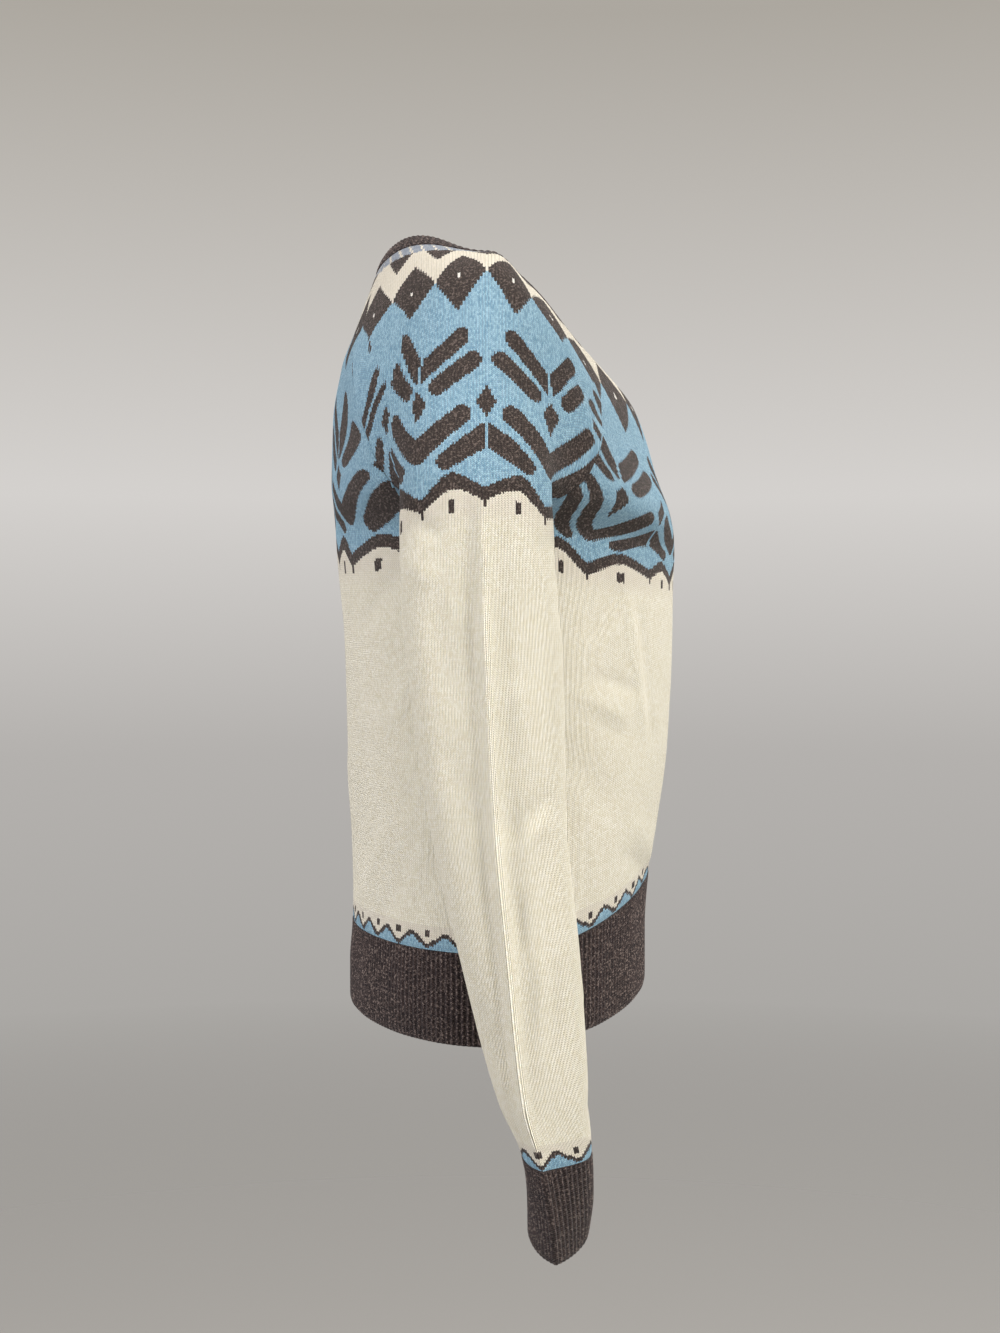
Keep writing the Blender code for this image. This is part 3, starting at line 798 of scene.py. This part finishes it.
def finish_wool(tree, colour, height, bump_distance):
    """Matt wool: rough, no gloss to speak of, and a fine fuzz that catches light."""
    relief = {"Height": height.socket, "Strength": 1.0, "Distance": bump_distance}
    normal = add_node(tree, "ShaderNodeBump", inputs=relief)
    shader = add_node(tree, "ShaderNodeBsdfPrincipled", inputs={
        "Base Color": colour, "Roughness": 0.92, "Specular IOR Level": 0.12, "Sheen Weight": 0.07,
        "Sheen Roughness": 0.55, "Normal": normal})
    add_node(tree, "ShaderNodeOutputMaterial", inputs={"Surface": shader})


def marl(tree, leg, course, seed):
    """Brown marl yarn: plies from dark to mid brown, with pale and near-black flecks."""
    pick = random_by(leg, course, seed)
    fleck = cloth_noise(MARL_FLECKS, 3.0)
    return laid_over(tree, srgb("#231a1b"), [
        (pick, srgb("#3f3330")), ((fleck > 0.585) * 0.75, srgb("#7a6c66")),
        ((fleck < 0.42) * 0.7, srgb("#120d0e"))])


def jacquard_knit(name, middle_is_b, rib_top):
    """Wool stocking stitch with the fair isle chart knitted in.

    It shows as columns of small matt Vs, each in one yarn, with painted shade darkening the hollows between
    them.
    """
    material, tree = new_material(name)
    stitch = stitch_place(tree)
    leg = Term.of("FLOOR", stitch.wales * 2)
    brown, blue, band, white, carried = fair_isle(tree, stitch, middle_is_b, rib_top)
    leg_shade = random_by(leg, stitch.course, 3)
    cream_yarn = laid_over(tree, srgb("#ebe3ca"), [
        (leg_shade, srgb("#fffbee")), (cloth_noise(DYE_CLOUDS) * 0.2, srgb("#e0d9c0")),
        (carried * 0.6, srgb("#e6ddcf"))])
    blue_yarn = laid_over(tree, srgb("#6f9bb7"), [(leg_shade, srgb("#a5cadd"))])
    band_yarn = laid_over(tree, srgb("#8f99a9"), [(leg_shade, srgb("#a8b0bd"))])
    colour = laid_over(tree, cream_yarn, [
        (blue, blue_yarn), (band, band_yarn), (brown, marl(tree, leg, stitch.course, 7)),
        (white, srgb("#f4f1ea"))])

    # each leg of the V is a round strand, and it dips where it goes under the next
    half = Term.of("FRACT", stitch.wales * 2) - 0.5
    strand = 1 - half * half * 4
    down = Term.of("FRACT", stitch.slanted) - 0.5
    dip = 1 - down * down * 4
    height = strand * 0.8 + dip * 0.5 + cloth_noise(HAIRS) * 0.2
    # painted shade: the colour darkens toward dark brown where a strand curves away, where a course dips
    # under the next and in the gaps between wales
    between = larger(abs(Term.of("FRACT", stitch.wales + 0.5) - 0.5) * 2 - 0.72, 0)
    painted_hollow_shade = smaller(larger(0.78 - strand * 0.5 - dip * 0.42, 0) + between * 0.8, 1)
    colour = laid_over(tree, colour, [(painted_hollow_shade, srgb("#4a4136"))])
    finish_wool(tree, colour, height, STITCH_RELIEF)
    return material


def jacquard_inside(name):
    """The purl side of the wool: low matt ridges, and over the yoke the yarns that are
    carried behind the pattern, lying across in short floats."""
    material, tree = new_material(name)
    stitch = stitch_place(tree)
    t = read_pair(tree, "chart")[1]
    run = Term.of("FLOOR", stitch.wales * 0.33 + stitch.course * 0.5)
    pick = random_by(run, stitch.course, 11)
    yoke = within(t, 13, 212)
    carried = laid_over(tree, srgb("#86abc2"), [(pick > 0.5, srgb("#4c4240"))])
    colour = laid_over(tree, srgb("#e4dfc6"), [(yoke, carried)])
    ridge = Term.of("SINE", stitch.slanted * FULL_TURN)
    finish_wool(tree, colour, ridge * 0.5 + cloth_noise(PURL_HAIRS) * 0.4, FLAT_RELIEF)
    return material


def rib_knit(name):
    """Brown marl 1x1 rib: matt, flecked, with painted shade that darkens it a little all over and most
    between its ribs.

    The ribs are in the mesh, and this adds their stitches.
    """
    material, tree = new_material(name)
    stitch = stitch_place(tree)
    leg = Term.of("FLOOR", stitch.wales * 2)
    groove = abs(Term.of("FRACT", stitch.wales) - 0.5) * 2
    # painted shade: a little over the whole rib, deepest in the grooves between the ribs
    shade = smaller(larger(groove - 0.35, 0) * 0.8 + 0.2, 0.6)
    colour = laid_over(tree, marl(tree, leg, stitch.course, 5), [(shade, srgb("#171011"))])
    down = Term.of("FRACT", stitch.slanted) - 0.5
    height = (1 - down * down * 4) * 0.5 + cloth_noise(RIB_HAIRS) * 0.4
    finish_wool(tree, colour, height, FLAT_RELIEF)
    return material


def course_rows(first, last, step):
    """Courses from `first` to `last`, evenly and about `step` apart."""
    return np.linspace(first, last, int(round((last - first) / step)) + 1)


def edge_dip(across, courses):
    """How far the cloth sinks at the seams and ends of a piece, in metres.

    It falls by 0.7 mm as the bell curve of the distance from the edge over 2 mm.
    """
    side = across.max(axis=1, keepdims=True) - np.abs(across)
    end = np.minimum(courses - courses[0], courses[-1] - courses)[:, None]
    return 0.7 * MM * np.exp(-(np.minimum(side, end) / 2.0) ** 2)


def panel_piece(name, grid, facing, courses, folds, chart, materials):
    """A knitted panel: its form, its folds, and its edges drawn back from the seams.

    `chart` turns the points' distances from the middle into places on the chart.
    Courses are counted up from the rib along the cloth itself, so that stitches keep
    their size where the cloth turns in under the arm.
    """
    normals = outward_normals(grid, facing)
    across = across_from_middle(grid)
    rises = np.linalg.norm(np.diff(grid, axis=0), axis=2) / MM
    above = np.vstack([np.cumsum(rises[::-1], axis=0)[::-1], np.zeros((1, grid.shape[1]))])
    half_gap = SEAM_GAP / 2
    for column, inside in ((0, 1), (-1, -2)):
        grid[:, column] += unit(grid[:, inside] - grid[:, column]) * half_gap
    grid[0] += unit(grid[1] - grid[0]) * half_gap
    grid[-1] += unit(grid[-2] - grid[-1]) * half_gap
    inner = grid - normals * PANEL_WALL
    lift = fold_heights(folds, across, courses)
    dip = edge_dip(across, courses)
    outer = grid + normals * (lift - dip)[..., None]
    inner += normals * lift[..., None]
    knit = np.stack([across / WALE, (courses[-1] - above) / COURSE], axis=-1)
    drawn = chart(across, courses)
    # how far a wale and a course reach on the chart, held to 0.2 to 6 mm
    step = [np.gradient(drawn[..., k], axis=1 - k) / np.gradient(knit[..., k], axis=1 - k) for k in (0, 1)]
    places = {"knit": knit, "chart": drawn, "chart_step": np.clip(np.stack(step, axis=-1), 0.2, 6)}
    return wall_piece(name, outer, inner, places, materials, outward=facing)


def rib_piece(name, grid, facing, courses, ribs, folds, material, closed=False):
    """A ribbed piece.

    Across it the wall's outside rises and falls as a cosine, once for each rib.  The
    free edge is drawn in by the bell curve of the distance from it.
    """
    normals = outward_normals(grid, facing, closed)
    across = across_from_middle(grid, closed)
    joined, away = (-1, -1) if closed else (0, 1)
    grid[joined] += unit(grid[1] - grid[0]) * away * SEAM_GAP / 2
    inner = grid - normals * RIB_WALL
    columns = grid.shape[1]
    phase = np.arange(columns) * ribs / (columns if closed else columns - 1)
    rib = np.cos(2 * np.pi * (phase - 0.5))
    lift = fold_heights(folds, across, courses)
    free = courses[0] if closed else courses[-1]
    rounding = np.exp(-((courses - free) / EDGE_ROUNDING) ** 2)[:, None]
    relief = RIB_DEPTH * rib[None, :] * (1 - 0.5 * rounding) - EDGE_DRAWN_IN * rounding
    outer = grid + normals * (lift + relief)[..., None]
    inner += normals * lift[..., None]
    wales = np.broadcast_to(phase[None, :], across.shape)
    places = {"knit": np.stack([wales, np.broadcast_to(courses[:, None] / COURSE, across.shape)], axis=-1)}
    return wall_piece(name, outer, inner, places, [material], closed=closed, outward=facing)


def neck_ring(courses, columns):
    """The neck edge as closed rings, over the right shoulder, the back, the left
    shoulder and the front, read at even steps along each ring."""
    span = 120
    right, left = sleeve_grid(RIGHT, courses, span), sleeve_grid(LEFT, courses, span)
    back, front = front_or_back("back", courses, span), front_or_back("front", courses, span)
    around = np.concatenate([right, back[:, 1:], left[:, -2::-1], front[:, -2::-1]], axis=1)
    return read_evenly(around, np.arange(columns) / columns)


def front_chart(across, courses):
    """The front has a B axis down its middle."""
    return chart_places(FRONT_PLACES, 2 * HALF_REPEAT, 3 * HALF_REPEAT, across, courses)


def back_chart(across, courses):
    """The back has an A axis down its middle."""
    return chart_places(BACK_PLACES, 2 * HALF_REPEAT, 3 * HALF_REPEAT, across, courses)


def sleeve_chart(across, courses):
    """A sleeve has a B axis along its ridge.  Its front half comes first in each row."""
    front_half = chart_places(SLEEVE_FRONT_PLACES, HALF_REPEAT, 2 * HALF_REPEAT, across, courses)
    back_half = chart_places(SLEEVE_BACK_PLACES, HALF_REPEAT, 2 * HALF_REPEAT, across, courses)
    return np.where(across[..., None] < 0, front_half, back_half)


front_knit = jacquard_knit("front_jacquard_wool", True, BODY_RIB_TOP)
back_knit = jacquard_knit("back_jacquard_wool", False, BODY_RIB_TOP)
sleeve_knit = jacquard_knit("sleeve_jacquard_wool", True, SLEEVE_RIB_TOP)
purl_side = jacquard_inside("purl_side_wool")
marl_rib = rib_knit("marl_wool_rib")

body_rows = course_rows(NECKBAND_END, BODY_RIB_TOP, BODY_STEP)
sleeve_rows = course_rows(NECKBAND_END, SLEEVE_RIB_TOP, SLEEVE_STEP)
hem_rows = course_rows(BODY_RIB_TOP, BODY_HEM, RIB_STEP)
cuff_rows = course_rows(SLEEVE_RIB_TOP, CUFF_END, RIB_STEP)
neck_rows = course_rows(0, NECKBAND_END, NECK_STEP)

front = panel_piece("front", front_or_back("front", body_rows, FRONT_COLUMNS), -1, body_rows,
                    FRONT_FOLDS, front_chart, [front_knit, purl_side])
back = panel_piece("back", front_or_back("back", body_rows, BACK_COLUMNS), 1, body_rows,
                   BACK_FOLDS, back_chart, [back_knit, purl_side])
sleeves, cuffs = {}, {}
for side, word in ((RIGHT, "right"), (LEFT, "left")):
    grid = sleeve_grid(side, sleeve_rows, SLEEVE_COLUMNS)
    sleeves[word] = panel_piece("sleeve_" + word, grid, -side, sleeve_rows, SLEEVE_FOLDS,
                                sleeve_chart, [sleeve_knit, purl_side])
    grid = sleeve_grid(side, cuff_rows, CUFF_RIBS * POINTS_A_RIB)
    cuffs[word] = rib_piece("cuff_" + word, grid, -side, cuff_rows, CUFF_RIBS, CUFF_FOLDS, marl_rib)
for which, facing in (("front", -1), ("back", 1)):
    grid = front_or_back(which, hem_rows, HEM_RIBS_A_PANEL * POINTS_A_RIB)
    rib_piece("hem_rib_" + which, grid, facing, hem_rows, HEM_RIBS_A_PANEL, HEM_FOLDS, marl_rib)
grid = neck_ring(neck_rows, NECK_RIBS * POINTS_A_RIB)
neckband = rib_piece("neckband", grid, 1, neck_rows, NECK_RIBS, [], marl_rib, closed=True)

# Each piece's cut: its widest course and its length in the knitting, and its flat area
Cut = namedtuple("Cut", "piece width length area rests_on")


def studio_floor():
    """A wide pale disc under the garment that fades out toward its edge.

    A point is at (r cos a, r sin a), with r and a on an even grid.
    """
    rings, sides, floor_level = 24, 96, -1.35
    inmost, outmost, fade_start, fade_end = 0.02, 5, 1.2, 4.0
    angles = np.linspace(0, 2 * np.pi, sides + 1)[:-1]
    radius, angle = np.meshgrid(np.linspace(inmost, outmost, rings), angles, indexing="ij")
    level = np.full_like(radius, floor_level)
    points = np.stack([radius * np.cos(angle), radius * np.sin(angle), level], axis=-1)
    i, j = (part.ravel() for part in np.meshgrid(np.arange(rings - 1), np.arange(sides), indexing="ij"))
    nxt = (j + 1) % sides
    faces = np.stack([i * sides + j, (i + 1) * sides + j, (i + 1) * sides + nxt, i * sides + nxt], axis=1)
    centre = np.arange(sides)[None, :]
    mesh = bpy.data.meshes.new("studio_floor")
    mesh.from_pydata(points.reshape(-1, 3), [], faces.tolist() + centre.tolist())
    material, tree = new_material("matt_floor_paint")
    place = add_node(tree, "ShaderNodeTexCoord", output="Object")
    far = Term(add_node(tree, "ShaderNodeVectorMath", {"operation": "LENGTH"}, {0: place}, output="Value"))
    matt_grey = {"Base Color": srgb("#84827f"), "Roughness": 0.9}
    paint = add_node(tree, "ShaderNodeBsdfPrincipled", inputs=matt_grey)
    clear = add_node(tree, "ShaderNodeBsdfTransparent")
    fade = ramp(far, fade_start, fade_end)
    surface = add_node(tree, "ShaderNodeMixShader", inputs={0: fade.socket, 1: paint, 2: clear})
    add_node(tree, "ShaderNodeOutputMaterial", inputs={"Surface": surface})
    mesh.materials.append(material)
    floor = bpy.data.objects.new("studio_floor", mesh)
    bpy.context.scene.collection.objects.link(floor)


def area_light(name, place, turned, size, watts, colour):
    """A soft square lamp, turned by Euler angles in degrees."""
    light = bpy.data.lights.new(name, "AREA")
    light.size = size
    light.energy = watts
    light.color = srgb(colour)[:3]
    lamp = bpy.data.objects.new(name, light)
    lamp.location = place
    lamp.rotation_euler = np.radians(turned)
    bpy.context.scene.collection.objects.link(lamp)


studio_floor()
area_light("ceiling_light", (-0.6, 0.1, 1.9), (0, -17, 0), 1.8, 40, "#fffaf2")
area_light("key_light", (-1.3, -2.6, 0.6), (72, 0, -27), 1.8, 160, "#fffdf8")
area_light("fill_light", (-1.2, 2.6, 0.3), (76, 0, -155), 1.8, 108, "#fdfcff")
area_light("far_light", (1.9, -1.5, 1.2), (60, 0, 52), 1.8, 24, "#f8f9ff")

# The studio's surroundings by height, from straight down at 0 to straight up at 1: pale
# walls level with the garment, darker toward their foot and top, and palest overhead
WALL_SHADES = ((0.0, "#9a9894"), (0.33, "#a19f9b"), (0.47, "#b4b1ae"), (0.54, "#d4d1ce"),
               (0.665, "#aca79f"), (0.82, "#cfccc7"), (1.0, "#e2dfda"))
world = bpy.data.worlds.new("pale_studio")
bpy.context.scene.world = world
world.use_nodes = True
walls = world.node_tree
direction = add_node(walls, "ShaderNodeTexCoord", output="Generated")
upward = add_node(walls, "ShaderNodeSeparateXYZ", inputs={0: direction}, output="Z")
share = add_node(walls, "ShaderNodeMath", {"operation": "MULTIPLY_ADD"}, {0: upward, 1: 0.5, 2: 0.5})
shades = walls.nodes.new("ShaderNodeValToRGB")
walls.links.new(share, shades.inputs[0])
stops = shades.color_ramp.elements
for stop, (position, shade) in zip(stops, (WALL_SHADES[0], WALL_SHADES[-1])):
    stop.position = position
    stop.color = srgb(shade)
for position, shade in WALL_SHADES[1:-1]:
    stops.new(position).color = srgb(shade)
walls.links.new(shades.outputs["Color"], walls.nodes["Background"].inputs["Color"])
bpy.context.scene.view_settings.view_transform = "Standard"

# The camera stands on the wearer's right, level with the middle of the body.  The
# picture's height, the focal length and the height of the horizon are in its pixels.
PICTURE_HEIGHT, FOCAL_LENGTH, HORIZON = 1333, 1800, 640
lens = bpy.data.cameras.new("camera")
lens.sensor_fit = "VERTICAL"
lens.sensor_height = 24
lens.lens = 24 * FOCAL_LENGTH / PICTURE_HEIGHT
lens.shift_y = (HORIZON - PICTURE_HEIGHT / 2) / PICTURE_HEIGHT
camera = bpy.data.objects.new("camera", lens)
camera.location = (-1.476, -0.0246, -0.313)
camera.rotation_euler = np.radians((90, 0, -90))
bpy.context.scene.collection.objects.link(camera)
bpy.context.scene.camera = camera
